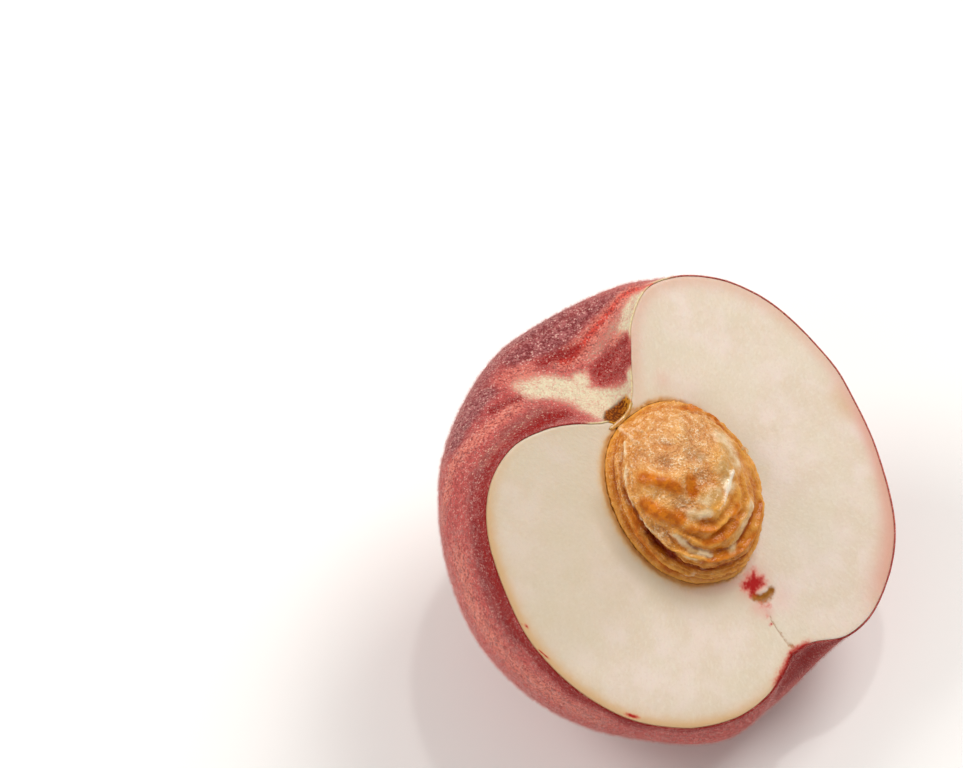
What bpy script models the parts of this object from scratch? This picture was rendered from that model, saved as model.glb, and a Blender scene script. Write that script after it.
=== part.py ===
"""Half of a white peach, cut flat along its seam, with the stone still in it.

The half is modelled about the fruit's own axis: +Z is the stem end, +X looks
out of the cut face and -Y is the deep side of the seam. An empty then lays it
on its back, on a small flat spot, with the cut face up and tilted forward.
"""

import math

import bmesh
import bpy
import numpy as np
from mathutils import Euler, Matrix, Vector, geometry

MM = 0.001

# Outlines of the fruit in mm: distance from the axis, height
# They run from the stem pit over the shoulder and down to the blossom end
SEAM_OUTLINE = (
    (0.0, 21.0), (4.3, 20.7), (9.5, 23.7), (14.3, 25.7), (21.0, 26.6), (28.2, 23.9), (33.5, 17.4),
    (36.5, 8.0), (37.3, -0.5), (35.2, -9.4), (30.6, -18.0), (23.6, -24.5), (15.5, -28.5), (8.5, -29.3),
    (2.9, -28.1), (0.0, -26.8),
)
FAR_OUTLINE = (
    (0.0, 21.0), (2.1, 21.5), (5.9, 26.5), (10.1, 31.1), (16.3, 33.5), (23.8, 30.8), (30.0, 25.2),
    (34.4, 17.6), (36.9, 7.0), (36.9, 0.0), (34.9, -10.3), (30.9, -19.9), (25.6, -25.8), (17.6, -29.9),
    (10.4, -30.3), (4.5, -27.6), (0.0, -26.8),
)
CHEEK_OUTLINE = (
    (0.0, 21.0), (2.9, 21.2), (7.0, 27.9), (11.6, 35.2), (15.4, 37.5), (21.9, 35.6), (34.6, 21.4),
    (38.4, 12.4), (39.4, 3.0), (37.8, -9.0), (32.3, -19.0), (18.4, -31.0), (11.4, -33.5), (5.1, -30.9),
    (0.0, -26.8),
)

# Lips beside the seam: the fruit swells out from the groove on both sides
# Heights are by the shoulder, at the waist and near the tip. Places, spreads and fades
# are shares of the way along an outline, first near the stem pit and then near the tip
LIP_ANGLE = math.radians(20)
SEAM_LIP_MM = (3.9, 2.3, 3.2)
FAR_LIP_MM = (2.2, 0.0, 0.7)
LIP_PLACE = (0.2, 0.86)
LIP_SPREAD = (0.12, 0.09)
LIP_FADE = (0.08, 0.05)

# Skin and flesh
SKIN_THICKNESS = 0.7 * MM
CLEARANCE = 0.3 * MM
CUT_PLANE = 0.4 * MM
SCAR_RADIUS = 2.9 * MM
SCAR_CENTRE_Y = -1.0 * MM
SCAR_FLOOR = 19.6 * MM

# Stone
STONE_CENTRE = Vector((0.0, 0.1, 4.2)) * MM
STONE_HALF_THICKNESS_MM = 9.0
STONE_HALF_WIDTH_MM = 12.5
STONE_HALF_LENGTH_MM = 14.5
STEM_END_BLUNTNESS = 0.35
TIP_MM = 0.5
TIP_ANGLE = math.radians(14)
TIP_SHARPNESS = 4

# Ridges (plus) and furrows (minus) that run round the stone's face
# Angle from the middle of the face, then height in mm, both given on the far side, at the
# stem end, on the seam side and at the tip, and last the half width as an angle
STONE_BANDS = (
    ((90, 90, 92, 90), (0.5, 0.2, 0.7, 0.5), 4.0),
    ((81, 80, 80, 82), (-0.9, -0.5, -1.6, -1.0), 3.6),
    ((72, 70, 71, 74), (0.9, 0.6, 0.9, 0.9), 3.2),
    ((63, 60, 62, 66), (-1.1, -0.6, -0.4, -1.1), 3.4),
    ((54, 50, 54, 57), (0.8, 0.3, 0.1, 1.0), 3.2),
    ((46, 42, 46, 49), (-0.7, -0.1, 0.0, -1.0), 3.4),
    ((38, 34, 38, 41), (0.4, 0.0, 0.0, 0.8), 3.4),
    ((30, 27, 30, 33), (-0.3, 0.0, 0.0, -0.8), 3.6),
)
BAND_WAVE_DEGREES = 1.6
BAND_WAVES = 5
BAND_BREAK = 0.5
BAND_BREAKS = 3
BAND_SHIFT = 2.5
KEEL_KEPT_SMOOTH = 8

# Pits (plus) and lumps (minus) of the face in mm: sideways, up, radius, depth
STONE_DENTS = (
    (0.4, 4.8, 1.4, 1.5), (-4.4, 7.0, 1.3, 1.4), (-2.4, 9.7, 1.1, 1.1), (-6.5, -0.9, 1.7, 1.5),
    (-1.2, 1.2, 1.3, 1.2), (3.4, 7.6, 1.2, 1.1), (-7.4, 5.4, 2.0, -0.8), (-9.0, 1.0, 1.8, -0.7),
    (-3.3, 3.3, 1.7, -0.8), (1.0, 9.0, 1.5, -0.6), (4.0, 3.0, 2.2, -0.6), (-2.2, -3.4, 1.8, -0.7),
    (-4.4, -4.4, 1.1, 1.0), (5.6, 5.2, 1.1, 1.0), (-5.9, 9.6, 1.1, 0.9), (2.4, -1.4, 1.2, 1.0),
)

# How the half lies
LYING_ROTATION = Euler((math.radians(-10.5), math.radians(-56), math.radians(-35.5)), "XYZ")
FLOOR_DEPTH = 36.2 * MM
FLOOR_BLEND = 0.3 * MM

# Mesh sizes
FRUIT_SEGMENTS = 52
FRUIT_ROWS = 38
STONE_SEGMENTS = 56
STONE_ROWS = 50
SCAR_SEGMENTS = 32
SPLINE_STEPS = 12
CUTTER_REACH = 60 * MM
SHARP_EDGE = math.radians(40)

# Colours in linear light, and roughness
SKIN_COLOUR = (0.42, 0.07, 0.06, 1.0)
SKIN_ROUGHNESS = 0.75
FLESH_COLOUR = (0.80, 0.68, 0.49, 1.0)
FLESH_ROUGHNESS = 0.35
STONE_COLOUR = (0.52, 0.25, 0.08, 1.0)
STONE_ROUGHNESS = 0.4


def clear_scene():
    for old in list(bpy.data.objects):
        bpy.data.objects.remove(old)


def new_collection(name):
    collection = bpy.data.collections.new(name)
    bpy.context.scene.collection.children.link(collection)
    return collection


def new_material(name, colour, roughness):
    material = bpy.data.materials.new(name)
    material.use_nodes = True
    shader = material.node_tree.nodes["Principled BSDF"]
    shader.inputs["Base Color"].default_value = colour
    shader.inputs["Roughness"].default_value = roughness
    shader.inputs["Metallic"].default_value = 0.0
    return material


def new_object(name, bm, collection, parent=None):
    mesh = bpy.data.meshes.new(name)
    bm.to_mesh(mesh)
    bm.free()
    obj = bpy.data.objects.new(name, mesh)
    obj.parent = parent
    collection.objects.link(obj)
    return obj


def new_cutter(name, bm, collection, parent=None):
    obj = new_object(name, bm, collection, parent)
    obj.hide_render = True
    obj.display_type = "WIRE"
    return obj


def cut(obj, cutter):
    boolean = obj.modifiers.new("cut by " + cutter.name, "BOOLEAN")
    boolean.operation = "DIFFERENCE"
    boolean.solver = "EXACT"
    boolean.object = cutter


def finish_piece(obj, material):
    obj.data.materials.append(material)
    obj.data.shade_smooth()
    obj.data.set_sharp_from_angle(angle=SHARP_EDGE)


def outline_rows(outline, rows):
    """A smooth curve through an outline's points, read at rows + 1 places an equal way apart."""
    points = [Vector((distance * MM, height * MM)) for distance, height in outline]
    padded = [2 * points[0] - points[1]] + points + [2 * points[-1] - points[-2]]
    curve = []
    for before, start, end, after in zip(padded, padded[1:], padded[2:], padded[3:]):
        handle_out = start + (end - before) / 6
        handle_in = end - (after - start) / 6
        curve += geometry.interpolate_bezier(start, handle_out, handle_in, end, SPLINE_STEPS)[:-1]
    curve.append(points[-1])
    curve = np.array([tuple(point) for point in curve])
    travelled = np.concatenate(([0.0], np.cumsum(np.linalg.norm(np.diff(curve, axis=0), axis=1))))
    places = np.linspace(0.0, travelled[-1], rows + 1)
    return np.stack([np.interp(places, travelled, curve[:, axis]) for axis in (0, 1)], axis=1)


def lip_height(along, heights_mm):
    """How far a lip swells at a place along its outline, from 0 at the stem pit to 1 at the tip."""
    top, middle, low = heights_mm
    swell = middle * math.sin(math.pi * along) ** 2
    swell += top * math.exp(-((along - LIP_PLACE[0]) / LIP_SPREAD[0]) ** 2)
    swell += low * math.exp(-((along - LIP_PLACE[1]) / LIP_SPREAD[1]) ** 2)
    fade = min(1.0, along / LIP_FADE[0]) * min(1.0, (1.0 - along) / LIP_FADE[1])
    return swell * fade * MM


def fruit_mesh(inset=0.0, up=None):
    """The whole fruit as a closed surface, set in from the outside of its skin.

    Where up is given, the surface is also raised to stay that far above the floor.
    """
    seam_row = outline_rows(SEAM_OUTLINE, FRUIT_ROWS)
    far_row = outline_rows(FAR_OUTLINE, FRUIT_ROWS)
    cheek_row = outline_rows(CHEEK_OUTLINE, FRUIT_ROWS)
    bm = bmesh.new()
    bmesh.ops.create_uvsphere(bm, u_segments=FRUIT_SEGMENTS, v_segments=FRUIT_ROWS, radius=1.0)
    for vert in bm.verts:
        direction = vert.co.normalized()
        row = round(math.acos(max(-1.0, min(1.0, direction.z))) / math.pi * FRUIT_ROWS)
        turn = math.atan2(abs(direction.x), -direction.y)
        near_seam = math.cos(turn) ** 2
        side = seam_row[row] if turn < math.pi / 2 else far_row[row]
        distance, height = side * near_seam + cheek_row[row] * (1.0 - near_seam)
        lip = lip_height(row / FRUIT_ROWS, SEAM_LIP_MM if turn < math.pi / 2 else FAR_LIP_MM)
        from_seam = min(turn, math.pi - turn)
        lip *= near_seam * (1.0 - math.exp(-((from_seam / LIP_ANGLE) ** 2)))
        swell = 1.0 + lip / math.hypot(distance, height)
        outward = math.copysign(math.sin(turn), direction.x)
        vert.co = Vector((distance * outward, -distance * math.cos(turn), height)) * swell
    bm.normal_update()
    for vert in bm.verts:
        vert.co -= vert.normal * inset
    if up:
        for vert in bm.verts:
            above = vert.co.dot(up) + FLOOR_DEPTH - inset
            vert.co += up * (math.hypot(above, FLOOR_BLEND) - above) / 2
    return bm


def round_the_face(turn, values):
    """Blend four values given at the far side, the stem end, the seam side and the tip."""
    across, along = math.cos(turn), math.sin(turn)
    side = values[0] if across > 0 else values[2]
    end = values[1] if along > 0 else values[3]
    return side * across ** 2 + end * along ** 2


def stone_relief(face_angle, turn, sideways, up_face):
    """Height of the stone's ridges, furrows, pits and lumps, in mm."""
    relief = 0.0
    degrees = math.degrees(face_angle)
    off_keel = 1.0 - math.sin(face_angle) ** KEEL_KEPT_SMOOTH
    for count, (angles, heights, half_width) in enumerate(STONE_BANDS):
        wave = BAND_WAVE_DEGREES * math.sin(BAND_WAVES * turn + count) * off_keel
        lowered = (1.0 + math.sin(BAND_BREAKS * turn + BAND_SHIFT * count)) / 2
        fullness = 1.0 - BAND_BREAK * off_keel * lowered
        offset = (degrees - round_the_face(turn, angles) - wave) / half_width
        relief += fullness * round_the_face(turn, heights) * math.exp(-offset ** 2)
    for dent_side, dent_up, radius, depth in STONE_DENTS:
        near = ((sideways - dent_side) ** 2 + (up_face - dent_up) ** 2) / radius ** 2
        relief -= depth * math.exp(-near) * math.sqrt(math.cos(face_angle))
    return relief


def stone_mesh(growth):
    """The stone, with the middles of its two faces at the poles, so that ridges follow the rows."""
    bm = bmesh.new()
    bmesh.ops.create_uvsphere(bm, u_segments=STONE_SEGMENTS, v_segments=STONE_ROWS, radius=1.0)
    bmesh.ops.rotate(bm, verts=bm.verts, matrix=Matrix.Rotation(math.pi / 2, 3, "Y"))
    half_sizes = Vector((STONE_HALF_THICKNESS_MM, STONE_HALF_WIDTH_MM, STONE_HALF_LENGTH_MM))
    for vert in bm.verts:
        direction = vert.co.normalized()
        face_angle = math.acos(min(1.0, abs(direction.x)))
        turn = math.atan2(direction.z, direction.y)
        power = 2.0 + STEM_END_BLUNTNESS * max(0.0, math.sin(turn)) ** 2
        bulge = (abs(math.cos(turn)) ** power + abs(math.sin(turn)) ** power) ** (-1.0 / power)
        tip = TIP_MM * math.exp(-((turn + math.pi / 2) / TIP_ANGLE) ** 2)
        tip *= math.sin(face_angle) ** TIP_SHARPNESS
        place = Vector((half_sizes.x * direction.x,
                        half_sizes.y * direction.y * bulge,
                        half_sizes.z * direction.z * bulge - tip))
        outward = Vector([place[axis] / half_sizes[axis] ** 2 for axis in range(3)]).normalized()
        sideways = math.copysign(place.y, place.y * direction.x)
        place += outward * stone_relief(face_angle, turn, sideways, place.z)
        vert.co = place * MM
    bm.normal_update()
    for vert in bm.verts:
        vert.co += vert.normal * growth + STONE_CENTRE
    bmesh.ops.recalc_face_normals(bm, faces=bm.faces)
    return bm


def box_mesh(low, high):
    bm = bmesh.new()
    bmesh.ops.create_cube(bm, size=1.0)
    low, high = Vector(low), Vector(high)
    for vert in bm.verts:
        vert.co = Vector([(low[axis] + high[axis]) / 2 + vert.co[axis] * (high[axis] - low[axis])
                          for axis in range(3)])
    return bm


def scar_mesh():
    """The round recess that the stem leaves at the bottom of the pit."""
    bm = bmesh.new()
    height = CUTTER_REACH - SCAR_FLOOR
    bmesh.ops.create_cone(bm, cap_ends=True, segments=SCAR_SEGMENTS,
                          radius1=SCAR_RADIUS, radius2=SCAR_RADIUS, depth=height)
    bmesh.ops.translate(bm, verts=bm.verts, vec=(0.0, SCAR_CENTRE_Y, SCAR_FLOOR + height / 2))
    return bm


def flat_spot_centre(bm, turn_down):
    """The middle of the flat spot, once the fruit is turned to lie down but not yet moved."""
    rim = []
    for edge in bm.edges:
        high, low = (turn_down @ vert.co for vert in edge.verts)
        if (high.z + FLOOR_DEPTH) * (low.z + FLOOR_DEPTH) < 0:
            rim.append(high.lerp(low, (high.z + FLOOR_DEPTH) / (high.z - low.z)))
    middle = [(min(p[axis] for p in rim) + max(p[axis] for p in rim)) / 2 for axis in (0, 1)]
    return Vector((middle[0], middle[1], -FLOOR_DEPTH))


def main():
    clear_scene()
    parts = new_collection("white_peach_half")
    cutters = new_collection("cutters")
    turn_down = LYING_ROTATION.to_matrix()
    up = turn_down.transposed() @ Vector((0.0, 0.0, 1.0))

    skin_outside = fruit_mesh()
    lying = bpy.data.objects.new("lying_half", None)
    lying.rotation_euler = LYING_ROTATION
    lying.location = -flat_spot_centre(skin_outside, turn_down)
    parts.objects.link(lying)

    reach = CUTTER_REACH
    front_box = box_mesh((CUT_PLANE, -reach, -reach), (reach, reach, reach))
    front = new_cutter("front_half", front_box, cutters, lying)
    floor = new_cutter("floor", box_mesh((-reach, -reach, -reach), (reach, reach, 0.0)), cutters)
    inside = new_cutter("inside_of_skin", fruit_mesh(SKIN_THICKNESS, up), cutters, lying)
    scar = new_cutter("stem_scar", scar_mesh(), cutters, lying)
    socket = new_cutter("stone_socket", stone_mesh(CLEARANCE), cutters, lying)

    skin = new_object("skin", skin_outside, parts, lying)
    for cutter in (inside, front, scar, floor):
        cut(skin, cutter)
    finish_piece(skin, new_material("skin", SKIN_COLOUR, SKIN_ROUGHNESS))

    flesh = new_object("flesh", fruit_mesh(SKIN_THICKNESS + CLEARANCE, up), parts, lying)
    for cutter in (front, scar, socket):
        cut(flesh, cutter)
    finish_piece(flesh, new_material("flesh", FLESH_COLOUR, FLESH_ROUGHNESS))

    stone = new_object("stone", stone_mesh(0.0), parts, lying)
    finish_piece(stone, new_material("stone", STONE_COLOUR, STONE_ROUGHNESS))


main()
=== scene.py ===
"""Half of a white peach, cut flat along its seam and lying on its back, as it looks.

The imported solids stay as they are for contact. Each one is replaced here by a finer
piece that follows the same outlines and has its own relief, colours and down.
"""

import math

import bmesh
import bpy
import numpy as np
from mathutils import Euler, Matrix, Vector, kdtree, noise


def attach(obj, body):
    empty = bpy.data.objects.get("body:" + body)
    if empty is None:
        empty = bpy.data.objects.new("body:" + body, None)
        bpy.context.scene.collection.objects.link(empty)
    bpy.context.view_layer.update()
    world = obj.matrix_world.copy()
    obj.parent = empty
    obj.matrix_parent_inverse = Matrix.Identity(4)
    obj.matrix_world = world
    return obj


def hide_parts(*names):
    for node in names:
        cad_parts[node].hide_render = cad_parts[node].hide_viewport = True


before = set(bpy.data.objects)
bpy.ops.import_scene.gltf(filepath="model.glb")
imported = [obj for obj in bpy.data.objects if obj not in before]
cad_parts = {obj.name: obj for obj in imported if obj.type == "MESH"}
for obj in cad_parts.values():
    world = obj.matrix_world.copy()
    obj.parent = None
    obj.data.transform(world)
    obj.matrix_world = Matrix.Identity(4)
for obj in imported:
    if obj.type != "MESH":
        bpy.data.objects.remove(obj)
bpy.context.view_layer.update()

# The skin
# It is the fruit's outside, a thin tough skin, red over cream. It grows round the flesh,
# dips into the stem pit, where the stem has left a scar, and is cut through all round.
MM = 0.001
SEAM_OUTLINE = (
    (0.0, 21.0), (4.3, 20.7), (9.5, 23.7), (14.3, 25.7), (21.0, 26.6), (28.2, 23.9), (33.5, 17.4),
    (36.5, 8.0), (37.3, -0.5), (35.2, -9.4), (30.6, -18.0), (23.6, -24.5), (15.5, -28.5), (8.5, -29.3),
    (2.9, -28.1), (0.0, -26.8),
)
FAR_OUTLINE = (
    (0.0, 21.0), (2.1, 21.5), (5.9, 26.5), (10.1, 31.1), (16.3, 33.5), (23.8, 30.8), (30.0, 25.2),
    (34.4, 17.6), (36.9, 7.0), (36.9, 0.0), (34.9, -10.3), (30.9, -19.9), (25.6, -25.8), (17.6, -29.9),
    (10.4, -30.3), (4.5, -27.6), (0.0, -26.8),
)
CHEEK_OUTLINE = (
    (0.0, 21.0), (2.9, 21.2), (7.0, 27.9), (11.6, 35.2), (15.4, 37.5), (21.9, 35.6), (34.6, 21.4),
    (38.4, 12.4), (39.4, 3.0), (37.8, -9.0), (32.3, -19.0), (18.4, -31.0), (11.4, -33.5), (5.1, -30.9),
    (0.0, -26.8),
)
LIP_ANGLE = math.radians(20)
SEAM_LIP = (3.9, 2.3, 3.2)
FAR_LIP = (2.2, 0.0, 0.7)
LIP_PLACE = (0.2, 0.86)
LIP_SPREAD = (0.12, 0.09)
LIP_FADE = (0.08, 0.05)
CUT_PLANE = 0.4
SKIN_THICKNESS = 0.26
FRUIT_RADIUS = 36
FRUIT_RIPPLE = 0.1
SCAR_MIDDLE = (-0.6, -1.0)
SCAR_HALF_SIZES = (2.4, 3.3)
SCAR_SLANT = 0.25
SCAR_DEPTH = 1.25
SCAR_HEIGHTS = (15, 24)
FLOOR_BLEND = 0.3
SKIN_PLACES = np.concatenate((np.linspace(0, 0.075, 40)[:-1], np.linspace(0.075, 0.93, 130)[:-1],
                              np.linspace(0.93, 1, 24)))
SKIN_TURNS = 210
INNER_TURNS = 60
CUT_EDGE = ((0.22, 0.0), (0.35, 0.015), (0.4, 0.06), (0.41, 0.13), (0.38, 0.2), (0.25, 0.26))
EDGE_RAGGED_FROM = 0.3
EDGE_RAGGEDNESS = 0.05
LYING = Matrix.LocRotScale(Vector((3.635, -3.53, 36.2)),
                           Euler((math.radians(-10.5), math.radians(-56), math.radians(-35.5)), "XYZ"),
                           None)
# Each mark is one or more lines of places in mm, each with its strength and its width in mm.
SKIN_MARKS = {
    "coral": [
        (1, 1.9, ((0.4, 16.6, 33.8), (-2.9, 15.5, 33.9), (-5.2, 10.5, 33.4), (-6.5, 7.7, 32.3),
                  (-8.4, 4.2, 31.7), (-8.9, 0.7, 31.2))),
        (0.5, 2.4, ((-10.6, -5.0, 33.4), (-12.2, -8.2, 34.2))),
    ],
    "flush": [(1, 1.2, ((-3.4, 6.6, 29.2), (-1.6, 8.0, 29.6)))],
    "crimson": [(1, 1.3, ((-8.4, 4.2, 31.7), (-9.6, 0.4, 32.2), (-9.8, -2.2, 32.6)))],
    "red_streak": [(1, 0.8, ((-8.6, -9.0, 30.8), (-8.7, -12.1, 31.1), (-9.2, -15.0, 31.6)))],
    "saddle": [
        (1, 2.5, ((-0.5, -1.5, 20.4), (-3.2, -1.2, 22.4), (-4.8, -1.8, 24.4), (-6.5, -2.6, 27.0),
                  (-7.9, -4.6, 29.3), (-8.6, -6.4, 30.4))),
        (1, 1.7, ((0.0, -3.0, 20.0), (0.3, -6.0, 21.3))),
        (0.6, 1.9, ((-8.6, -6.4, 30.4), (-9.9, -7.9, 32.0))),
    ],
    "pit_wall": [
        (0.36, 1.9, ((-6.9, 3.4, 29.6), (-5.4, 6.6, 30.4), (-3.2, 9.6, 31.4))),
        (1, 2.3, ((-0.2, 9.4, 30.7), (-0.6, 13.2, 32.8), (0.0, 18.6, 33.9))),
        (1, 1.7, ((-4.5, -0.4, 24.3), (-2.2, 1.6, 22.6), (0.2, 2.6, 22.2))),
        (1, 1.0, ((0.3, 2.4, 22.2), (0.3, 4.2, 24.2))),
        (0.9, 2.0, ((-6.4, 0.0, 27.4),)),
    ],
    "blotch": [
        (1, 1.9, ((-5.2, 3.0, 26.8), (-3.6, 4.9, 27.3), (-0.8, 7.4, 28.8))),
        (1, 1.4, ((-4.4, 2.8, 25.3), (-2.0, 4.6, 25.6), (0.2, 5.8, 26.6))),
    ],
    "pale_patches": [
        (0.75, 15.0, ((-26.0, 16.0, -16.0),)),
        (0.6, 9.0, ((-31.0, -14.0, 14.0),)),
    ],
    "groove": [(1, 1.75, (
        (-3.9, -7.4, 24.7), (-3.6, -9.0, 25.5), (-2.9, -12.5, 26.3), (-1.5, -15.8, 26.5),
        (-1.0, -20.0, 26.4), (-1.2, -25.4, 25.5), (-0.6, -29.6, 22.6), (-0.8, -34.6, 14.8),
        (-1.1, -36.7, 7.2), (-0.8, -37.1, -1.9), (-0.5, -34.5, -10.4), (-0.4, -29.3, -19.1),
        (-0.4, -20.0, -26.4), (-0.2, -13.0, -28.6)))],
    "far_groove": [(1, 3.2, (
        (-0.5, 24.0, 31.5), (-0.5, 32.0, 22.0), (-0.5, 37.0, 8.0), (-0.5, 36.0, -8.0),
        (-0.5, 27.0, -25.0)))],
    "grey_stripe": [(1, 1.5, (
        (-5.4, -9.3, 27.3), (-4.1, -14.5, 27.8), (-3.2, -19.2, 27.6), (-3.3, -23.1, 27.0),
        (-3.9, -25.2, 26.4)))],
    # Deeper, duller skin down the seam groove beside the cut: painted shade in the groove.
    "groove_shade_band": [(1, 1.7, (
        (-3.7, -26.4, 25.7), (-3.9, -30.0, 22.7), (-3.4, -32.4, 19.5), (-3.8, -34.4, 15.4),
        (-4.0, -35.6, 11.8), (-4.4, -36.5, 8.0), (-3.2, -37.2, 2.4)))],
    # Lighter pink along the lip of the seam groove: a painted highlight.
    "ridge_highlight": [(1, 1.7, (
        (-7.8, -11.8, 30.3), (-6.9, -16.4, 30.1), (-7.3, -20.5, 29.8), (-8.3, -22.9, 29.4),
        (-10.2, -25.4, 28.3), (-11.3, -28.1, 25.9), (-14.2, -30.0, 22.2)))],
    "pale_belt": [(1, 3.4, (
        (-9.6, -33.9, 16.3), (-11.4, -35.5, 8.7), (-9.1, -36.4, 2.4), (-6.6, -35.6, -6.0),
        (-5.6, -31.0, -15.0)))],
    "shoulder": [
        (1, 2.9, ((-4.6, 13.6, 35.0), (-8.6, 8.6, 35.0), (-10.6, 3.6, 34.6), (-11.2, -0.6, 34.6),
                  (-12.4, -4.0, 35.4))),
        (0.8, 2.6, ((-6.6, 13.4, 36.6), (-12.0, 6.6, 36.8), (-14.0, 0.0, 37.0))),
        (1, 2.1, ((-12.4, -12.0, 33.8), (-12.2, -17.6, 32.6), (-11.2, -22.0, 31.2))),
        (0.5, 4.6, ((-12.5, 10.0, 36.8), (-15.5, 0.0, 37.0), (-16.0, -10.0, 34.8), (-13.8, -20.0, 31.6))),
    ],
    "bruise": [(1, 1.5, ((-10.8, 3.4, 34.0), (-9.9, 0.8, 33.0)))],
    # Deep red, bare skin in the tip's notch: its own red, partly painted shade where it faces down.
    "notch_red_and_shade": [
        (1, 3.6, ((-2.8, 5.9, -29.4), (-4.0, 2.8, -29.8), (-3.8, -1.1, -30.0))),
        (1, 1.7, ((0.3, 0.5, -26.8), (0.3, -5.0, -28.2), (0.0, -9.0, -28.8))),
        (1, 2.0, ((-1.3, 6.0, -29.6), (-1.0, 9.0, -30.0), (-0.6, 12.5, -30.0))),
    ],
}
# What each mark does to the skin's depth of red, its dusky bloom, its brightness and its bareness.
# The lighter band on the seam groove's lip is a painted highlight, the groove band's deepening is painted
# shade and the notch's is partly painted shade.
DEEPENING = {"blotch": 0.62, "groove": 0.8, "far_groove": 0.25, "groove_shade_band": 0.4, "notch_red_and_shade": 0.9,
             "red_streak": 0.7, "bruise": 0.25, "crimson": 0.55, "ridge_highlight": -0.25, "pale_belt": -0.2}
DULLING = {"shoulder": 1.05, "grey_stripe": 0.45, "groove_shade_band": 0.25, "bruise": 0.5, "coral": -0.9,
           "crimson": -0.6, "groove": -0.8, "blotch": -0.5, "red_streak": -0.5, "notch_red_and_shade": -0.4}
BRIGHTENING_AND_HIGHLIGHT = {"ridge_highlight": 0.7, "coral": 0.9, "pale_belt": 0.62, "flush": 0.8}
BARING = {"groove": 1, "notch_red_and_shade": 1, "red_streak": 0.6, "crimson": 0.6, "coral": 0.5, "blotch": 0.8}


def smooth_outline(points, places):
    """A smooth curve through an outline's points, read at places from 0 at the stem to 1 at the tip."""
    points = np.array(points, float)
    points = np.vstack((2 * points[0] - points[1], points, 2 * points[-1] - points[-2]))
    t = np.linspace(0, 1, 24, endpoint=False)[:, None]
    spans = [0.5 * (2 * b + (c - a) * t + (2 * a - 5 * b + 4 * c - d) * t ** 2
                    + (3 * b - a - 3 * c + d) * t ** 3)
             for a, b, c, d in zip(points, points[1:], points[2:], points[3:])]
    curve = np.vstack(spans + [points[-2:-1]])
    travelled = np.concatenate(([0.0], np.cumsum(np.linalg.norm(np.diff(curve, axis=0), axis=1))))
    places = np.asarray(places) * travelled[-1]
    return np.stack([np.interp(places, travelled, curve[:, axis]) for axis in (0, 1)], axis=1)


def ripple(points, size, octaves=2, shift=0.0):
    """Smooth noise of about -1 to 1 at each point, in lumps of about the given size in mm."""
    points = np.asarray(points)
    values = [noise.fractal(Vector(point), 1.0, 2.0, octaves)
              for point in (points.reshape(-1, 3) / size + shift).tolist()]
    return np.array(values).reshape(points.shape[:-1])


def drift(points, size, octaves, shifts):
    """Ripples side by side, one for each shift, to move points about by."""
    return np.stack([ripple(points, size, octaves, shift) for shift in shifts], axis=-1)


def ease(values, low, high):
    """0 below low, 1 above high and a smooth step between them. It falls where low is above high."""
    t = np.clip((values - low) / (high - low), 0, 1)
    return t * t * (3 - 2 * t)


def unit(vectors):
    """The same directions at a length of 1."""
    return vectors / np.linalg.norm(vectors, axis=-1, keepdims=True)


def bell(values, width):
    """1 where a value is 0, fading out to each side of it over about width."""
    return np.exp(-(values / width) ** 2)


def lip_height(along, heights):
    top, middle, low = heights
    swell = middle * np.sin(math.pi * along) ** 2
    swell += top * bell(along - LIP_PLACE[0], LIP_SPREAD[0])
    swell += low * bell(along - LIP_PLACE[1], LIP_SPREAD[1])
    return swell * np.minimum(1, along / LIP_FADE[0]) * np.minimum(1, (1 - along) / LIP_FADE[1])


def across_scar(points):
    """How far points are from the slanting middle line of the scar, in mm."""
    return points[..., 0] - SCAR_MIDDLE[0] + SCAR_SLANT * (points[..., 1] - SCAR_MIDDLE[1])


def scar_distance(points):
    """0 at the middle of the scar and 1 on its edge."""
    along = (points[..., 1] - SCAR_MIDDLE[1]) / SCAR_HALF_SIZES[1]
    return np.hypot(across_scar(points) / SCAR_HALF_SIZES[0], along)


def half_fruit(turn_count, inset=0.0):
    """The half's outside in mm along the fruit's own axes, set in by inset, and its normals.

    There is a row for each place along the outlines and a column for each turn from the
    seam's side, where y is negative, round the back to the far side.
    """
    turns = np.arange(-1, turn_count + 2) * math.pi / turn_count
    seam, far, cheek = (smooth_outline(outline, SKIN_PLACES)[:, None, :]
                        for outline in (SEAM_OUTLINE, FAR_OUTLINE, CHEEK_OUTLINE))
    on_seam_side = np.cos(turns) > 0
    near_seam = (np.cos(turns) ** 2)[None, :, None]
    profile = np.where(on_seam_side[None, :, None], seam, far) * near_seam + cheek * (1 - near_seam)
    along = SKIN_PLACES[:, None]
    lip = np.where(on_seam_side[None, :], lip_height(along, SEAM_LIP), lip_height(along, FAR_LIP))
    from_seam = np.arcsin(np.abs(np.sin(turns)))
    lip = lip * near_seam[..., 0] * (1 - bell(from_seam, LIP_ANGLE))
    distance, height = profile[..., 0], profile[..., 1]
    points = np.stack((-distance * np.sin(turns), -distance * np.cos(turns), height), axis=-1)
    points *= (1 + lip / np.hypot(distance, height))[..., None]
    mirrored = points * np.where(points[..., :1] > 0, (-1, 1, 1), (1, 1, 1))
    points *= 1 + (FRUIT_RIPPLE * ripple(mirrored, 11.0) / FRUIT_RADIUS)[..., None]
    from_scar = scar_distance(mirrored) + 0.05 * ripple(mirrored, 1.6, shift=3.0)
    points[..., 2] -= SCAR_DEPTH * ease(from_scar, 1.0, 0.42) * (points[..., 2] > SCAR_HEIGHTS[0])
    normals = np.cross(np.gradient(points, axis=1), np.gradient(points, axis=0))
    normals[0] = (0, 0, 1)
    normals[-1] = (0, 0, -1)
    normals = unit(normals)
    points -= normals * inset
    points, normals = points[:, 1:-1], normals[:, 1:-1]
    points[:, (0, -1), 0] = 0
    return points, normals


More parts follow.
